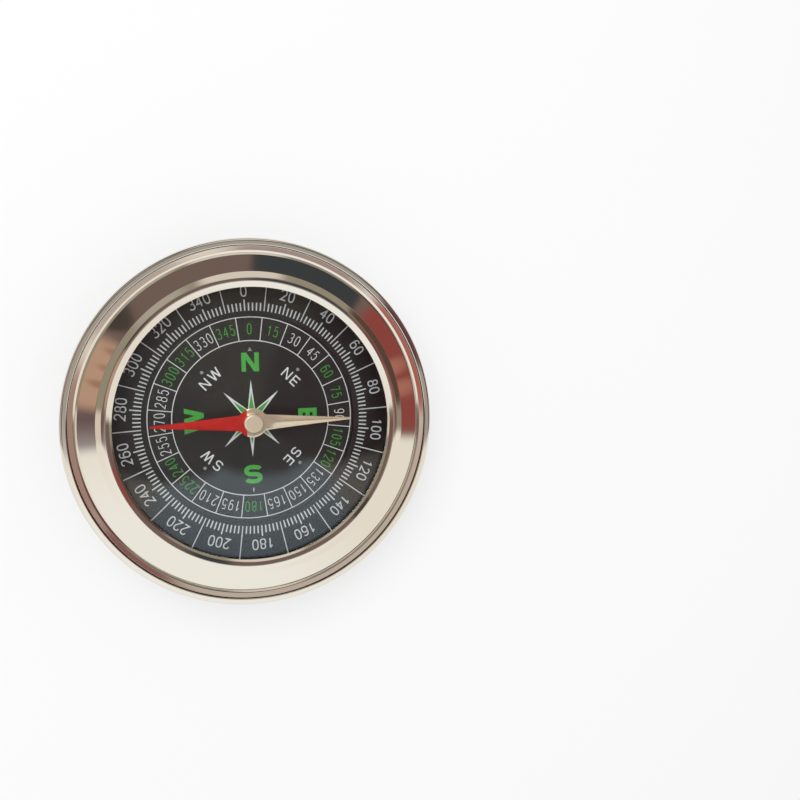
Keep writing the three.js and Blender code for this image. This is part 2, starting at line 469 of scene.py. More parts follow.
white_shades = ((0.61, 0.615, 0.62), (0.68, 0.685, 0.69))
green_shades = ((0.04, 0.30, 0.036), (0.06, 0.36, 0.05))
grey_shades = ((0.22, 0.22, 0.22), (0.30, 0.30, 0.30))
ink_cloud = 0.6 * MM
ink_speck = 0.2 * MM
ink_rough = (0.42, 0.58)
ink_grain = 0.12 * MM
ink_relief = 0.4 * MICRON


def oval(middle, half, start=0, end=360):
    """Points on a slightly squared oval, from start to end in degrees."""
    steps = max(OVAL_LEAST_STEPS, round(abs(end - start) / OVAL_STEP))
    points = []
    for step in range(steps + 1):
        angle = math.radians(start + (end - start) * step / steps)
        across, up = math.cos(angle), math.sin(angle)
        across = math.copysign(abs(across) ** OVAL_POWER, across)
        up = math.copysign(abs(up) ** OVAL_POWER, up)
        points.append((middle[0] + half[0] * across, middle[1] + half[1] * up))
    return points


def ribbon(path, width, closed=False):
    """A printed stroke along a path: its points and faces, with mitred bends."""
    path = [Vector(point) for point in path]
    if closed and (path[0] - path[-1]).length < SAME_POINT:
        path.pop()
    count = len(path)
    points = []
    for place, point in enumerate(path):
        before = path[place - 1] if closed or place > 0 else None
        after = path[(place + 1) % count] if closed or place < count - 1 else None
        ways = []
        if before is not None:
            ways.append((point - before).normalized())
        if after is not None:
            ways.append((after - point).normalized())
        along = sum(ways, Vector((0, 0))).normalized()
        reach = width / 2 / max(MITRE_LIMIT, along.dot(ways[0]))
        side = Vector((-along.y, along.x)) * reach
        points += [point + side, point - side]
    links = count if closed else count - 1
    faces = []
    for place in range(links):
        left = 2 * place
        following = 2 * ((place + 1) % count)
        faces.append((left, left + 1, following + 1, following))
    return points, faces


def area(points):
    """A printed patch with this outline."""
    return [Vector(point) for point in points], [tuple(range(len(points)))]


# Strokes of each figure, in shares of its width and height, and whether the stroke closes on itself
FIGURES = {
    "0": [(oval((0.5, 0.5), (0.5, 0.5)), True)],
    "1": [([(0.62, 0), (0.62, 1)], False), ([(0.62, 0.96), (0.22, 0.74)], False)],
    "2": [(oval((0.5, 0.72), (0.48, 0.28), 172, -26) + [(0.02, 0), (1, 0)], False)],
    "3": [(oval((0.47, 0.755), (0.44, 0.245), 158, -100), False),
          (oval((0.47, 0.26), (0.5, 0.26), 100, -160), False)],
    "4": [([(0.76, 0), (0.76, 1)], False), ([(0.76, 0.98), (0, 0.3), (1.04, 0.3)], False)],
    "5": [([(0.92, 1), (0.2, 1), (0.08, 0.56)] + oval((0.47, 0.33), (0.5, 0.33), 128, -158), False)],
    "6": [(oval((0.5, 0.31), (0.5, 0.31)), True), (oval((0.54, 0.5), (0.54, 0.5), 188, 50), False)],
    "7": [([(0, 1), (1, 1), (0.36, 0)], False)],
    "8": [(oval((0.5, 0.76), (0.43, 0.24)), True), (oval((0.5, 0.26), (0.5, 0.26)), True)],
    "9": [(oval((0.5, 0.69), (0.5, 0.31)), True), (oval((0.46, 0.5), (0.46, 0.5), 8, -130), False)],
}


def figures(text, height, width, gap, stroke):
    """Plates for a number, its foot on the line and its middle at zero."""
    plates = []
    start = -(len(text) * width + (len(text) - 1) * gap) / 2
    for place, figure in enumerate(text):
        left = start + place * (width + gap)
        for path, closed in FIGURES[figure]:
            inked = []
            for across, up in path:
                x = left + stroke / 2 + across * (width - stroke)
                y = stroke / 2 + up * (height - stroke)
                inked.append((x, y))
            plates.append(ribbon(inked, stroke, closed))
    return plates


def letter(name, width, height, stem):
    """One plain sans letter, its foot on the line and its middle at zero."""
    left = -width / 2
    right = width / 2
    if name == "S":
        half = ((width - stem) / 2, (height - stem) / 4)
        upper = oval((0, height - stem / 2 - half[1]), half, 18, 270)
        lower = oval((0, stem / 2 + half[1]), half, 90, -162)
        return ribbon(upper + lower[1:], stem)
    if name == "E":
        low_arm = (height - stem) / 2
        return area([
            (left, 0), (right, 0), (right, stem), (left + stem, stem),
            (left + stem, low_arm), (right - stem / 3, low_arm), (right - stem / 3, low_arm + stem),
            (left + stem, low_arm + stem), (left + stem, height - stem), (right, height - stem),
            (right, height), (left, height),
        ])
    if name == "N":
        cut = stem * n_cut
        fall = height / (width - cut)
        return area([
            (left, 0), (left + stem, 0), (left + stem, height - stem * fall), (right - cut, 0),
            (right, 0), (right, height), (right - stem, height), (right - stem, stem * fall),
            (left + cut, height), (left, height),
        ])
    cut = stem * w_cut
    pitch = (width - cut) / 4
    notch = height * cut / (2 * pitch)
    return area([
        (left, height), (left + pitch, 0), (left + pitch + cut, 0), (0, height - notch),
        (left + 3 * pitch, 0), (left + 3 * pitch + cut, 0), (right, height), (right - cut, height),
        (left + 3 * pitch + cut / 2, notch), (left + 2 * pitch + cut, height), (left + 2 * pitch, height),
        (left + pitch + cut / 2, notch), (left + cut, height),
    ])


def moved(plate, across):
    points, faces = plate
    return [point + Vector((across, 0)) for point in points], faces


def set_out(plates, bearing, radius):
    """Turns plates to a bearing, clockwise from north, with their feet on this radius and tops outwards."""
    angle = math.radians(bearing)
    outwards = Vector((math.sin(angle), math.cos(angle)))
    clockwise = Vector((math.cos(angle), -math.sin(angle)))
    placed = []
    for points, faces in plates:
        spots = [outwards * (radius + point.y) + clockwise * point.x for point in points]
        placed.append((spots, faces))
    return placed


def circle_line(radius, width):
    turns = [math.radians(degree) for degree in range(360)]
    path = [(radius * math.cos(turn), radius * math.sin(turn)) for turn in turns]
    return ribbon(path, width, closed=True)


def star_loop(tip, valley):
    loop = []
    for place in range(2 * star_spikes):
        angle = math.pi * place / star_spikes
        reach = valley if place % 2 else tip
        loop.append(Vector((math.sin(angle), math.cos(angle))) * reach)
    return loop


def between(outer, inner):
    """A printed band between two loops with as many points each."""
    count = len(outer)
    faces = []
    for place in range(count):
        beside = (place + 1) % count
        faces.append((place, beside, count + beside, count + place))
    return outer + inner, faces


def screen_ink(name, dark, light):
    finish = new_finish(name, light)
    shades(finish, mottle(finish, ink_cloud), dark, light)
    roughen(finish, mottle(finish, ink_speck), *ink_rough)
    relief(finish, mottle(finish, ink_grain), ink_relief)
    return finish


def printed(name, plates, finish, shift):
    """Ink on the dial's face, a little off its middle: flat patches given the ink's thickness."""
    points = []
    faces = []
    for spots, patches in plates:
        first = len(points)
        points += [(*(spot + shift), dial_face) for spot in spots]
        faces += [tuple(first + corner for corner in patch) for patch in patches]
    mesh = bpy.data.meshes.new(name)
    mesh.from_pydata(points, [], faces)
    shell = bmesh.new()
    shell.from_mesh(mesh)
    for face in shell.faces:
        face.normal_update()
        if face.normal.z < 0:
            face.normal_flip()
    shell.to_mesh(mesh)
    shell.free()
    piece = add_piece(name, mesh, finish)
    ink = piece.modifiers.new("ink_thickness", "SOLIDIFY")
    ink.thickness = INK_THICKNESS
    ink.offset = 1
    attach(piece, "case")


white_plates = [circle_line(cell_inner, cell_line), circle_line(cell_outer, cell_line)]
green_plates = []
cell_angle = 360 / cells
divider = ribbon([(0, cell_line / 2), (0, cell_outer - cell_inner - cell_line / 2)], cell_line)
for cell in range(cells):
    white_plates += set_out([divider], (cell + 0.5) * cell_angle, cell_inner)
    bearing = round(cell * cell_angle)
    number = figures(str(bearing), bearing_height, bearing_width, bearing_gap, bearing_stroke)
    inked = set_out(number, bearing, bearing_foot)
    if bearing in green_bearings:
        green_plates += inked
    else:
        white_plates += inked

for name, bearing in main_bearings.items():
    shape = letter(name, main_widths[name], main_height, main_stem)
    green_plates += set_out([shape], bearing, main_foot)

for name, bearing in side_bearings.items():
    first_width, second_width = side_widths[name[0]], side_widths[name[1]]
    total = first_width + side_gap + second_width
    first = letter(name[0], first_width, side_height, side_stem)
    second = letter(name[1], second_width, side_height, side_stem)
    pair = [moved(first, (first_width - total) / 2), moved(second, (total - second_width) / 2)]
    white_plates += set_out(pair, bearing, side_foot)

star_outline = star_loop(star_tip, star_valley)
star_core = star_loop(core_tip, core_valley)
white_plates.append(between(star_outline, star_core))
green_plates.append(between(star_core, star_loop(post_hole, post_hole)))

dot = area(oval((0, 0), (dot_radius, dot_radius))[:-1])
grey_plates = []
for bearing in dot_bearings:
    grey_plates += set_out([dot], bearing, dot_place)
arrow = area([(-arrow_half, 0), (arrow_half, 0), (0, arrow_height)])
grey_plates += set_out([arrow], main_bearings["N"], north_mark)
south_line = ribbon([(0, 0), (0, arrow_height)], cell_line)
white_plates += set_out([south_line], main_bearings["S"], south_mark)

white_ink = screen_ink("white_ink", *white_shades)
green_ink = screen_ink("green_ink", *green_shades)
grey_ink = screen_ink("grey_ink", *grey_shades)
printed("rose_white_print", white_plates, white_ink, rose_shift)
printed("rose_green_print", green_plates, green_ink, rose_shift)
printed("rose_grey_print", grey_plates, grey_ink, rose_shift)


# Print on the degree ring. The same white ink: a stroke every 2 degrees, a number every 20 and a long line
# halfway between the numbers, all turned with the ring.
scale_shift = Vector((0.98 * MM, 0.05 * MM))
scale_turn = -2.8
stroke_foot = 30.55 * MM
stroke_height = 2.2 * MM
stroke_width = 0.36 * MM
stroke_step = 2
marked_height = 3.1 * MM
number_step = 20
number_foot = 34.4 * MM
number_height = 3.15 * MM
number_width = 1.8 * MM
number_gap = 0.4 * MM
number_stroke = 0.36 * MM
line_end = ring_radius - 0.9 * MM
line_width = 0.28 * MM

stroke_plates = []
number_plates = []
for degree in range(0, 360, stroke_step):
    rise = stroke_height
    width = stroke_width
    if degree % number_step == 0:
        rise = marked_height
        number = figures(str(degree), number_height, number_width, number_gap, number_stroke)
        number_plates += set_out(number, degree + scale_turn, number_foot)
    elif degree % number_step == number_step // 2:
        rise = line_end - stroke_foot
        width = line_width
    stroke_plates += set_out([ribbon([(0, 0), (0, rise)], width)], degree + scale_turn, stroke_foot)
printed("scale_strokes", stroke_plates, white_ink, scale_shift)
printed("scale_numbers", number_plates, white_ink, scale_shift)


# Pivot post. A turned brass post through the dial and the tray, with a flange over the rose, peened over
# below on a brass washer; the washer lies out of sight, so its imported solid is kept.
SMALL_STEPS = 96
post_low, post_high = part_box("pivot_post")
pin_low, pin_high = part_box("pivot_pin")
post_radius = 1.6 * MM
post_flange = 2.6 * MM
flange_foot = dial_face + 0.1 * MM
flange_top = flange_foot + 0.5 * MM
flange_round = 0.08 * MM
spigot_radius = 1.0 * MM
peen_radius = 1.7 * MM
peen_top = post_low.z + 0.6 * MM
peen_round = 0.3 * MM
socket_radius = 0.53 * MM
socket_foot = pin_low.z - 0.08 * MM
turned_edge = 0.12 * MM

brass_colour = (0.68, 0.50, 0.22)
brass_rough = (0.18, 0.34)
tool_pitch = 0.08 * MM
tool_depth = 1.2 * MICRON


def turned_brass():
    finish = new_finish("turned_brass", brass_colour, metallic=1)
    marks = circles(finish, tool_pitch)
    roughen(finish, marks, *brass_rough)
    relief(finish, marks, tool_depth)
    return finish


post_corners = [
    (0, post_low.z, 0),
    (peen_radius, post_low.z, peen_round),
    (peen_radius, peen_top, sheet_edge),
    (spigot_radius, peen_top, 0),
    (spigot_radius, flange_foot, 0),
    (post_flange, flange_foot, flange_round),
    (post_flange, flange_top, turned_edge),
    (post_radius, flange_top, turned_edge),
    (post_radius, post_high.z, turned_edge),
    (socket_radius, post_high.z, turned_edge),
    (socket_radius, socket_foot, 0),
    (0, socket_foot, 0),
]
brass = turned_brass()
post = turned("pivot_stem", rounded(post_corners), brass, SMALL_STEPS)
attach(post, "case")
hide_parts("pivot_post")
finish_node("post_washer", brass)


# Pivot pin. A hardened steel pin, ground to a point and pressed into the top of the post; the needle's
# bearing cup rides on its point.
pin_radius = pin_high.x
pin_edge = 0.06 * MM
pin_taper = 1.1 * MM
taper_round = 0.3 * MM
point_round = 0.05 * MM

pin_colour = (0.62, 0.63, 0.65)
pin_rough = (0.14, 0.28)
grinding_pitch = 0.1 * MM
grinding_length = 8
grinding_depth = 0.6 * MICRON


def ground_steel():
    finish = new_finish("ground_pin_steel", pin_colour, metallic=1)
    marks = mottle(finish, grinding_pitch, (grinding_length, grinding_length, 1))
    roughen(finish, marks, *pin_rough)
    relief(finish, marks, grinding_depth)
    return finish


pin_corners = [
    (0, pin_low.z, 0),
    (pin_radius, pin_low.z, pin_edge),
    (pin_radius, pin_high.z - pin_taper, taper_round),
    (point_round, pin_high.z - point_round, 0),
    (0, pin_high.z, 0),
]
pin = turned("pivot_point", rounded(pin_corners), ground_steel(), SMALL_STEPS)
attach(pin, "case")
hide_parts("pivot_pin")


# Needle blade. A steel blade pressed with a faint crown and a round hub, one half painted red up to the cap
# and the other left bright; it is held by the cap and turns with it.
ARM_STEPS = 36
HUB_STEPS = 64
HOLE_STEPS = 24
LANES = (0, 0.25, 0.5, 0.7, 0.84, 0.9, 0.94, 0.98, 1)
blade_low, blade_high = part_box("needle_blade")
blade_reach = blade_high.x
blade_top = blade_high.z
blade_underside = blade_low.z
tip_half = 0.2 * MM
root_half = 2.15 * MM
hub_radius = 4.0 * MM
hub_ease = 0.35 * MM
hole_radius = 1.3 * MM
hole_clear = 0.05 * MM
paint_edge = -1.6 * MM
paint_clear = 0.08 * MM
crown = 0.2 * MM
crown_start = 4.5 * MM
crown_full = 8.0 * MM
crown_power = 1.3
blade_bevel = 0.07 * MM
bevel_share = 0.9

bright_steel = (0.96, 0.79, 0.60)
blade_metal = 0.76
blade_rough = (0.11, 0.18)
grain_pitch = 0.08 * MM
grain_length = 20
grain_depth = 0.1 * MICRON
red_paint = (0.46, 0.016, 0.011)
dark_red_paint = (0.37, 0.007, 0.005)
paint_shine = 0.15
paint_rough = (0.3, 0.42)
paint_cloud = 3 * MM
paint_flow = 0.7 * MM
paint_depth = 0.6 * MICRON


def half_width(x):
    """Half the blade's width: a straight taper that flows into the round hub."""
    root = math.sqrt(hub_radius**2 - root_half**2)
    taper = root_half + (tip_half - root_half) * (abs(x) - root) / (blade_reach - root)
    hub = math.sqrt(max(hub_radius**2 - x**2, 0))
    return (taper + hub + math.hypot(taper - hub, hub_ease)) / 2


def blade_stations():
    """Places along X: even on the arms, closer on the hub and the hole, and one at the paint's edge."""
    arm = blade_reach - hub_radius
    arms = [hub_radius + arm * step / ARM_STEPS for step in range(ARM_STEPS + 1)]
    hub = [hub_radius * math.cos(math.pi * step / HUB_STEPS) for step in range(1, HUB_STEPS)]
    hub = [x for x in hub if abs(x) > hole_radius + hole_clear and abs(x - paint_edge) > paint_clear]
    hole = [hole_radius * math.cos(math.pi * step / HOLE_STEPS) for step in range(HOLE_STEPS + 1)]
    return sorted(arms + [-x for x in arms] + hub + hole + [paint_edge])


def blade_mesh():
    """Two half blades with lanes at each station, from the hole or the middle line out to the edge."""
    stations = blade_stations()
    points = []
    index = {}
    for place, x in enumerate(stations):
        edge = half_width(x)
        inner = math.sqrt(max(hole_radius**2 - x**2, 0))
        crowned = min(max((abs(x) - crown_start) / (crown_full - crown_start), 0), 1)
        rise = crowned * crown * edge / root_half
        for side in (1, -1):
            for lane, share in enumerate(LANES):
                y = inner + (edge - inner) * share
                rounding = max(0, (share - bevel_share) / (1 - bevel_share)) ** 2 * blade_bevel
                top = blade_top - rise * (y / edge) ** crown_power - rounding
                for layer, z in enumerate((top, blade_underside + rounding)):
                    index[place, side, lane, layer] = len(points)
                    points.append((x, side * y, z))
    faces = []
    last = len(LANES) - 1
    for place in range(len(stations) - 1):
        beside = place + 1
        for side in (1, -1):
            for lane in range(last):
                for layer in (0, 1):
                    faces.append((index[place, side, lane, layer], index[beside, side, lane, layer],
                                  index[beside, side, lane + 1, layer], index[place, side, lane + 1, layer]))
            faces.append((index[place, side, last, 0], index[beside, side, last, 0],
                          index[beside, side, last, 1], index[place, side, last, 1]))
            if abs(stations[place] + stations[beside]) / 2 < hole_radius:
                faces.append((index[place, side, 0, 0], index[beside, side, 0, 0],
                              index[beside, side, 0, 1], index[place, side, 0, 1]))
    for place in (0, len(stations) - 1):
        for side in (1, -1):
            for lane in range(last):
                faces.append((index[place, side, lane, 0], index[place, side, lane + 1, 0],
                              index[place, side, lane + 1, 1], index[place, side, lane, 1]))
    mesh = smooth_mesh("needle_arms", points, faces)
    for face in mesh.polygons:
        face.material_index = 1 if face.center.x < paint_edge else 0
    return mesh


def bright_needle():
    finish = new_finish("bright_needle_steel", bright_steel, blade_metal)
    grain = mottle(finish, grain_pitch, (grain_length, 1, 1))
    roughen(finish, grain, *blade_rough)
    relief(finish, grain, grain_depth)
    return finish


def red_enamel():
    finish = new_finish("red_enamel", red_paint)
    shader_of(finish).inputs["Specular IOR Level"].default_value = paint_shine
    flow = mottle(finish, paint_flow)
    shades(finish, mottle(finish, paint_cloud), dark_red_paint, red_paint)
    roughen(finish, flow, *paint_rough)
    relief(finish, flow, paint_depth)
    return finish


blade = add_piece("needle_arms", blade_mesh(), bright_needle(), red_enamel())
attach(blade, "needle")
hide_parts("needle_blade")


# Needle cap. A flat-topped cap drawn from the same bright steel and set on the hub; it covers the hole and
# holds the bearing cup.
cap_low, cap_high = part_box("needle_cap")
cap_radius = cap_high.x
cap_foot = cap_low.z
cap_top = cap_high.z
cap_sheet = 0.4 * MM
cap_round = 0.45 * MM
cap_inner_round = 0.15 * MM
cap_edge = 0.05 * MM

cap_metal = 0.64
cap_rough = (0.15, 0.25)
cap_mark_pitch = 0.12 * MM
cap_mark_depth = 0.3 * MICRON


def bright_cap():
    finish = new_finish("bright_cap_steel", bright_steel, cap_metal)
    marks = circles(finish, cap_mark_pitch)
    roughen(finish, marks, *cap_rough)
    relief(finish, marks, cap_mark_depth)
    return finish


cap_corners = [
    (0, cap_top - cap_sheet, 0),
    (cap_radius - cap_sheet, cap_top - cap_sheet, cap_inner_round),
    (cap_radius - cap_sheet, cap_foot, cap_edge),
    (cap_radius, cap_foot, cap_edge),
    (cap_radius, cap_top, cap_round),
    (0, cap_top, 0),
]
cap = turned("hub_cap", rounded(cap_corners), bright_cap(), SMALL_STEPS)
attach(cap, "needle")
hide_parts("needle_cap")


# Bearing cup. A small cup of polished red stone, set in the cap, that rides on the pivot's point; the cap
# hides it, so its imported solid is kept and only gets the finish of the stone.
stone_red = (0.36, 0.05, 0.08)
stone_shades = ((0.30, 0.03, 0.06), (0.42, 0.08, 0.11))
stone_cloud = 0.8 * MM
stone_rough = 0.08


def bearing_stone():
    finish = new_finish("bearing_stone", stone_red, roughness=stone_rough)
    shades(finish, mottle(finish, stone_cloud), *stone_shades)
    return finish


finish_node("jewel_cup", bearing_stone())


# Dial wall. A black moulded ring that stands on the tray round the dial; its inward seat near the top
# carries the glass and the soft seal round it.
wall_low, wall_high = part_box("dial_wall")
crystal_low, crystal_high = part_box("crystal")
crystal_radius = crystal_high.x
wall_radius = wall_high.x
wall_bore = wall_radius - 1.2 * MM
seat_bore = crystal_radius - 1.6 * MM
seat_top = crystal_low.z - 0.1 * MM
seat_foot = seat_top - 0.8 * MM
mould_round = 0.15 * MM
wall_grain = 0.25 * MM
wall_corners = [
    (wall_bore, wall_low.z, 0),
    (wall_radius, wall_low.z, 0),
    (wall_radius, wall_high.z, mould_round),
    (wall_bore, wall_high.z, mould_round),
    (wall_bore, seat_top, mould_round),
    (seat_bore, seat_top, mould_round),
    (seat_bore, seat_foot, mould_round),
    (wall_bore, seat_foot, mould_round),
]
wall_finish = moulded_black("fine_black_moulding", wall_grain)
dial_wall = turned("inner_wall", rounded(wall_corners), wall_finish)
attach(dial_wall, "case")
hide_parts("dial_wall")


# Crystal seal. A soft black rubber ring round the edge of the glass, pressed in under the bezel; its packed
# solid is kept and only gets the finish of the rubber.
rubber_black = (0.02, 0.02, 0.02)
rubber_shades = ((0.015, 0.015, 0.015), (0.03, 0.03, 0.03))
rubber_rough = 0.8
bloom_size = 0.4 * MM
bloom_depth = 8 * MICRON


def seal_rubber():
    finish = new_finish("seal_rubber", rubber_black, roughness=rubber_rough)
    bloom = mottle(finish, bloom_size)
    shades(finish, bloom, *rubber_shades)
    relief(finish, bloom, bloom_depth)
    return finish


finish_node("crystal_seal", seal_rubber())


# Crystal. A flat disc of clear float glass with a ground bevel, laid on the seat and pressed down by the
# bezel's lip.
crystal_bevel = 0.3 * MM
crystal_edge = 0.05 * MM

glass_tint = (0.97, 0.985, 0.98)
glass_index = 1.5
glass_cloud = 12 * MM
glass_haze = (0.0, 0.03)


def float_glass():
    """Clear glass that lamps shine through, with the least haze from handling."""
    finish = new_finish("float_glass", glass_tint)
    shader = shader_of(finish)
    shader.inputs["Transmission Weight"].default_value = 1
    shader.inputs["IOR"].default_value = glass_index
    roughen(finish, mottle(finish, glass_cloud), *glass_haze)
    shadow = add_node(finish, "ShaderNodeLightPath").outputs["Is Shadow Ray"]
    clear = add_node(finish, "ShaderNodeBsdfTransparent", Color=(*glass_tint, 1))
    mix = fed_node(finish, "ShaderNodeMixShader", shadow, shader.outputs[0], clear.outputs[0])
    feed(finish, finish.node_tree.nodes["Material Output"].inputs["Surface"], mix.outputs[0])
    return finish


crystal_corners = [
    (0, crystal_low.z, 0),
    (crystal_radius, crystal_low.z, crystal_edge),
    (crystal_radius, crystal_high.z - crystal_bevel, crystal_edge),
    (crystal_radius - crystal_bevel, crystal_high.z, crystal_edge),
    (0, crystal_high.z, 0),
]
crystal = turned("flat_glass", rounded(crystal_corners), float_glass())
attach(crystal, "case")
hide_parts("crystal")


# Bezel. A ring pressed from the same stainless sheet and buffed: a dished ledge inside the rim, a small
# step, a wide sloping band, a raised shoulder and a lip that turns in over the glass; its skirt is pressed
# into the case.
bezel_low, bezel_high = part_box("bezel_ring")
bezel_sheet = 0.6 * MM
skirt_radius = bezel_high.x
skirt_end = bezel_low.z
skirt_round = 0.15 * MM
ledge_outer = rim_top - 0.58 * MM
ledge_bend_radius = 46.6 * MM
ledge_bend = ledge_outer - 0.323 * MM
ledge_round = 1.0 * MM
ledge_inner_radius = 46.15 * MM
ledge_inner = ledge_bend - 0.28 * MM
groove_round = 0.12 * MM
step_radius = 45.6 * MM
step_top = ledge_inner + 0.28 * MM
step_round = 0.2 * MM
band_radius = 41.15 * MM
band_top = step_top + 0.97 * MM
band_round = 0.8 * MM
band_inner_round = 1.0 * MM
shoulder_radius = 39.4 * MM
shoulder_top = band_top + 0.797 * MM
shoulder_round = 3.0 * MM
crest_radius = 38.6 * MM
crest_corner = bezel_high.z + 0.02 * MM
crest_round = 0.45 * MM
crest_inner_round = 0.3 * MM
lip_bend_radius = 37.6 * MM
lip_bend = crest_corner - 0.50 * MM
lip_round = 1.5 * MM
aperture_radius = 37.0 * MM
lip_edge = lip_bend - 0.40 * MM
lip_edge_round = 0.2 * MM
lip_underside = lip_edge - bezel_sheet
lip_underside_round = 0.12 * MM

mirror_rough = (0.035, 0.075)
haze_size = 9 * MM
hairline_pitch = 0.25 * MM
hairline_length = 14
hairline_depth = 0.12 * MICRON


def polished_steel():
    """Buffed stainless steel: a mirror with slow press waves, hazy spots and faint hairlines."""
    finish = new_finish("polished_steel", steel_colour, metallic=1)
    roughen(finish, mottle(finish, haze_size), *mirror_rough)
    waves = relief(finish, mottle(finish, press_wave, detail=0), press_depth)
    relief(finish, mottle(finish, hairline_pitch, (hairline_length, 1, 1)), hairline_depth, waves)
    return finish


bezel_corners = [
    (skirt_radius, skirt_end, sheet_edge),
    (skirt_radius, ledge_outer, skirt_round),
    (ledge_bend_radius, ledge_bend, ledge_round),
    (ledge_inner_radius, ledge_inner, groove_round),
    (step_radius, step_top, step_round),
    (band_radius, band_top, band_round),
    (shoulder_radius, shoulder_top, shoulder_round),
    (crest_radius, crest_corner, crest_round),
    (lip_bend_radius, lip_bend, lip_round),
    (aperture_radius, lip_edge, lip_edge_round),
    (aperture_radius, lip_underside, lip_underside_round),
    (crest_radius, crest_corner - bezel_sheet, crest_inner_round),
    (shoulder_radius, shoulder_top - bezel_sheet, shoulder_round),
    (band_radius, band_top - bezel_sheet, band_inner_round),
    (step_radius, step_top - bezel_sheet, step_round),
    (ledge_inner_radius, ledge_inner - bezel_sheet, sheet_edge),
    (skirt_radius - bezel_sheet, ledge_bend - bezel_sheet, step_round),
    (skirt_radius - bezel_sheet, skirt_end, sheet_edge),
]
bezel = turned("front_bezel", rounded(bezel_corners), polished_steel())
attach(bezel, "case")
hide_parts("bezel_ring")


# Camera. It stands above the dial, a little to the north-west, with the whole case left of the picture's
# middle; its lens is given by its focal length in pixels of a square picture.
camera_place = Vector((-32.8, 34.3, 269.5)) * MM
camera_aim = Vector((46.7, 2.7, 0)) * MM
camera_roll = math.radians(0.67)
focal_pixels = 930
picture_pixels = 800
sensor = 36
nearest = 5 * MM

camera = bpy.data.objects.new("camera", bpy.data.cameras.new("camera"))
camera.data.sensor_width = sensor
camera.data.lens = focal_pixels / picture_pixels * sensor
camera.data.clip_start = nearest
sight = (camera_aim - camera_place).normalized()
north = Vector((math.sin(camera_roll), math.cos(camera_roll), 0))
across = sight.cross(north).normalized()
upright = across.cross(sight)
turn = Matrix((across, upright, -sight)).transposed()
camera.matrix_world = Matrix.Translation(camera_place) @ turn.to_4x4()
bpy.context.scene.collection.objects.link(camera)
bpy.context.scene.camera = camera


# Table and light. A matt white table, a wide soft lamp overhead that the steel doesn't mirror, and a white
# room that shines a little less on matt surfaces than it looks.
table_half = 3.2
table_level = -0.2 * MM
table_white = (0.92, 0.92, 0.92)
white_share = 0.5
room_light = 0.75
lamp_place = Vector((-0.25, 0.30, 0.75))
lamp_width = 0.6
lamp_power = 2.6

scene = bpy.context.scene
scene.view_settings.view_transform = "Standard"


def seen_ray(finish):
    """One for rays from the camera and for those that metal and glass send on, and nought for others."""
    rays = add_node(finish, "ShaderNodeLightPath").outputs
    total = rays["Is Camera Ray"]
    for name in ("Is Glossy Ray", "Is Transmission Ray"):
        total = fed_node(finish, "ShaderNodeMath", total, rays[name], operation="MAXIMUM").outputs[0]
    return total


def bare_finish(name):
    """A finish without nodes yet, whose glow is met by chance and not sought out as a lamp."""
    finish = bpy.data.materials.new(name)
    finish.use_nodes = True
    finish.cycles.emission_sampling = "NONE"
    finish.node_tree.nodes.clear()
    return finish


def matt_white():
    """Matt white that glows in part for the rays that see it."""
    finish = bare_finish("white_table")
    glow_share = fed_node(finish, "ShaderNodeMath", seen_ray(finish), white_share, operation="MULTIPLY")
    lit = add_node(finish, "ShaderNodeBsdfDiffuse", Color=(*table_white, 1))
    glow = add_node(finish, "ShaderNodeEmission")
    mix = fed_node(finish, "ShaderNodeMixShader", glow_share.outputs[0], lit.outputs[0], glow.outputs[0])
    add_node(finish, "ShaderNodeOutputMaterial", Surface=mix.outputs[0])
    return finish


room = bpy.data.worlds.new("white_room")
room.use_nodes = True
scene.world = room
level = add_node(room, "ShaderNodeMapRange", Value=seen_ray(room), To_Min=room_light, To_Max=1)
background = room.node_tree.nodes["Background"]
background.inputs["Color"].default_value = (1, 1, 1, 1)
feed(room, background.inputs["Strength"], level.outputs[0])

table_mesh = bpy.data.meshes.new("table")
table_corners = []
for x, y in ((-1, -1), (1, -1), (1, 1), (-1, 1)):
    table_corners.append((x * table_half, y * table_half, table_level))
table_mesh.from_pydata(table_corners, [], [(0, 1, 2, 3)])
table = add_piece("table", table_mesh, matt_white())

lamp = bpy.data.objects.new("soft_lamp", bpy.data.lights.new("soft_lamp", "AREA"))
lamp.data.shape = "DISK"
lamp.data.size = lamp_width
lamp.data.energy = lamp_power
lamp.location = lamp_place
lamp.rotation_euler = (-lamp_place).to_track_quat("-Z", "Y").to_euler()
lamp.visible_glossy = False
scene.collection.objects.link(lamp)


# Tent. A dome of cloth round the table, sewn from patches, that only polished surfaces see; it gives the
# steel its cream, brown, slate and brick reflections and leaves the light on matt surfaces alone.
TENT_STEPS = 32
tent_radius = 3.0
tent_thickness = 0.03

cloth_brown = (0.19, 0.132, 0.112)
cloth_white = (1, 1, 1)
fold_size = 0.08
fold_reach = 0.012
fold_detail = 4.0

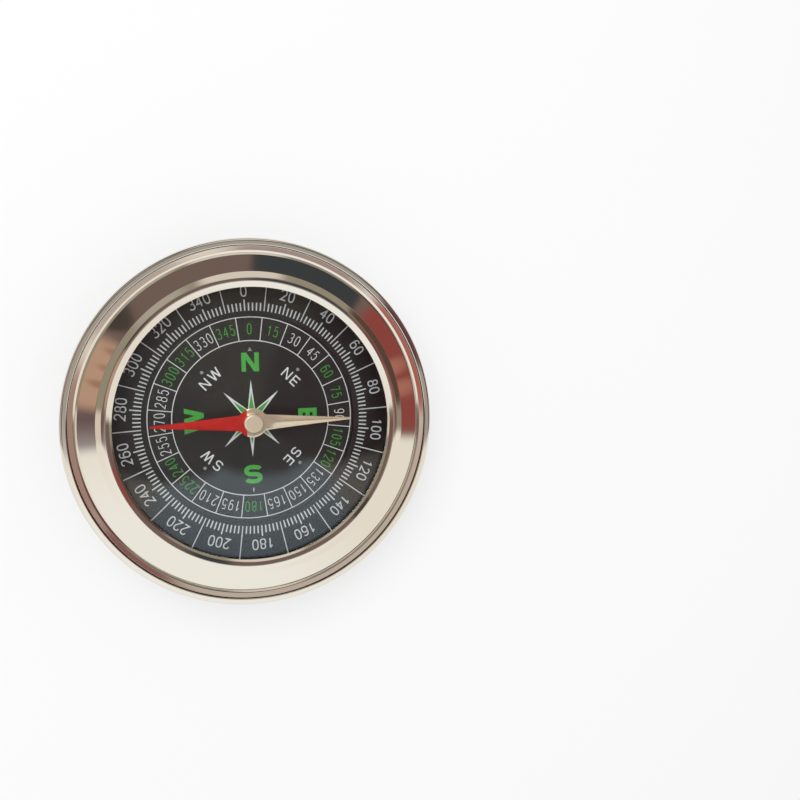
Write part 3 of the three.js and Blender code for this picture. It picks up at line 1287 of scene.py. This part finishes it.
# Each patch lies on those before it: its name, the bearing and elevation of its middle, its colour, and at
# how many degrees from the middle it is full and has faded out; the larger first means cloth outside them
tent_patches = [
    ("olive_foot", 135, 79, (0.34, 0.30, 0.22), 52, 46),
    ("dark_north", 335, 8, (0.13, 0.12, 0.09), 22, 27),
    ("north_window", 4, 35, (0.78, 0.70, 0.60), 12, 18),
    ("north_west_window", 325, 38, (0.47, 0.42, 0.34), 6, 14),
    ("west_glow", 262, 36, (0.79, 0.68, 0.57), 5, 8),
    ("red_west", 262, 49, (0.21, 0.10, 0.08), 4, 7),
    ("plum_west", 252, 62, (0.155, 0.10, 0.10), 3.5, 6),
    ("slate", 41, 60.5, (0.052, 0.056, 0.060), 11, 13),
    ("brick", 87, 54, (0.30, 0.070, 0.058), 12.5, 14.5),
    ("salmon", 85, 51, (0.46, 0.18, 0.13), 0.5, 2.5),
    ("salmon_fold", 92, 49.5, (0.46, 0.18, 0.13), 0.5, 2.5),
    ("east_shade", 71, 14, (0.115, 0.068, 0.05), 22, 26),
    ("tan", 280, 65, (0.56, 0.345, 0.24), 5.5, 8.5),
    ("tan_fold", 275, 64.4, (0.36, 0.20, 0.13), 0.3, 1.1),
    ("tan_second_fold", 284, 65.2, (0.38, 0.21, 0.14), 0.3, 1.1),
    ("tan_third_fold", 292.5, 65.7, (0.38, 0.21, 0.14), 0.3, 1.1),
    ("dark_fold", 308, 60.8, (0.07, 0.055, 0.045), 5.0, 5.6),
    ("grey_north", 135, 79, (0.42, 0.39, 0.34), 28.5, 31.5),
    ("plum_east", 80, 59, (0.11, 0.06, 0.065), 4, 7),
    ("taupe_top", 135, 79, (0.60, 0.49, 0.42), 18, 22),
    ("dark_hem", 0, 90, (0.10, 0.085, 0.065), 87, 81),
    ("cream_south", 180, 0, (0.95, 0.88, 0.77), 77.3, 80.2),
    ("white_south", 195, 40, (1.02, 1.0, 0.92), 20, 45),
    ("bright_east", 144, 64, (0.54, 0.445, 0.39), 5, 9),
    ("brown_south", 172, 67.5, (0.42, 0.30, 0.265), 4, 8),
    ("brown_east", 107, 66.5, (0.42, 0.26, 0.21), 4.5, 8),
    ("salmon_west", 206, 75, (0.45, 0.15, 0.115), 4.5, 6.5),
    ("red_east", 80, 72, (0.27, 0.12, 0.105), 2.5, 5),
    ("cream_middle", 150, 68.7, (0.95, 0.85, 0.72), 2, 4),
    ("cool_south", 155, 74.2, (0.76, 0.90, 1.0), 5.3, 7),
    ("brown_middle", 83, 78, (0.28, 0.18, 0.14), 2.2, 4.5),
    ("dim_west", 158.7, 84.5, (0.13, 0.10, 0.10), 5.5, 6.5),
    ("dim_centre", 125.5, 80.2, (0.13, 0.10, 0.09), 4.9, 5.9),
    ("dim_middle", 101, 81.7, (0.20, 0.16, 0.12), 5, 7),
    ("shade_east", 113, 75.9, (0.08, 0.02, 0.02), 4.3, 5.5),
]


def towards(bearing, elevation):
    """A direction by its bearing, clockwise from north, and its elevation, both in degrees."""
    turn = math.radians(bearing)
    lift = math.radians(elevation)
    level = math.cos(lift)
    return Vector((math.sin(turn) * level, math.cos(turn) * level, math.sin(lift)))


def tent_cloth():
    """Cloth that glows softly, brown under its patches, with edges that wander in small folds. Light that a
    matt surface gathers is left white."""
    finish = bare_finish("tent_cloth")
    way = fed_node(finish, "ShaderNodeVectorMath", own_place(finish), operation="NORMALIZE").outputs[0]
    folds = add_node(finish, "ShaderNodeTexNoise", Vector=way, Scale=1 / fold_size, Detail=fold_detail)
    offset = (folds.outputs["Color"], (2 * fold_reach,) * 3, (-fold_reach,) * 3)
    fold = fed_node(finish, "ShaderNodeVectorMath", *offset, operation="MULTIPLY_ADD").outputs[0]
    bent = fed_node(finish, "ShaderNodeVectorMath", way, fold, operation="ADD").outputs[0]
    folded = fed_node(finish, "ShaderNodeVectorMath", bent, operation="NORMALIZE").outputs[0]
    colour = cloth_brown
    for name, bearing, elevation, cloth, full, faded in tent_patches:
        middle = towards(bearing, elevation)
        facing = fed_node(finish, "ShaderNodeVectorMath", folded, middle, operation="DOT_PRODUCT")
        limits = {"From_Min": math.cos(math.radians(faded)), "From_Max": math.cos(math.radians(full))}
        patch = add_node(finish, "ShaderNodeMapRange", Value=facing.outputs["Value"], **limits)
        patch.interpolation_type = "SMOOTHSTEP"
        patch.name = name
        colour = blend(finish, patch.outputs[0], colour, cloth)
    matt_bounces = add_node(finish, "ShaderNodeLightPath").outputs["Diffuse Depth"]
    gathered = fed_node(finish, "ShaderNodeMath", matt_bounces, 1, operation="MINIMUM").outputs[0]
    glow = add_node(finish, "ShaderNodeEmission", Color=blend(finish, gathered, colour, cloth_white))
    add_node(finish, "ShaderNodeOutputMaterial", Surface=glow.outputs[0])
    return finish


tent_profile = []
for step in range(TENT_STEPS):
    lift = math.pi / 2 * step / TENT_STEPS
    tent_profile.append((tent_radius * math.cos(lift), tent_radius * math.sin(lift)))
tent_outer = tent_radius + tent_thickness
tent_profile += [(0, tent_radius), (0, tent_outer), (tent_outer, 0)]
tent = turned("cloth_tent", tent_profile, tent_cloth(), SMALL_STEPS)
tent.visible_camera = False
tent.visible_diffuse = False
tent.visible_shadow = False


bpy.context.view_layer.update()
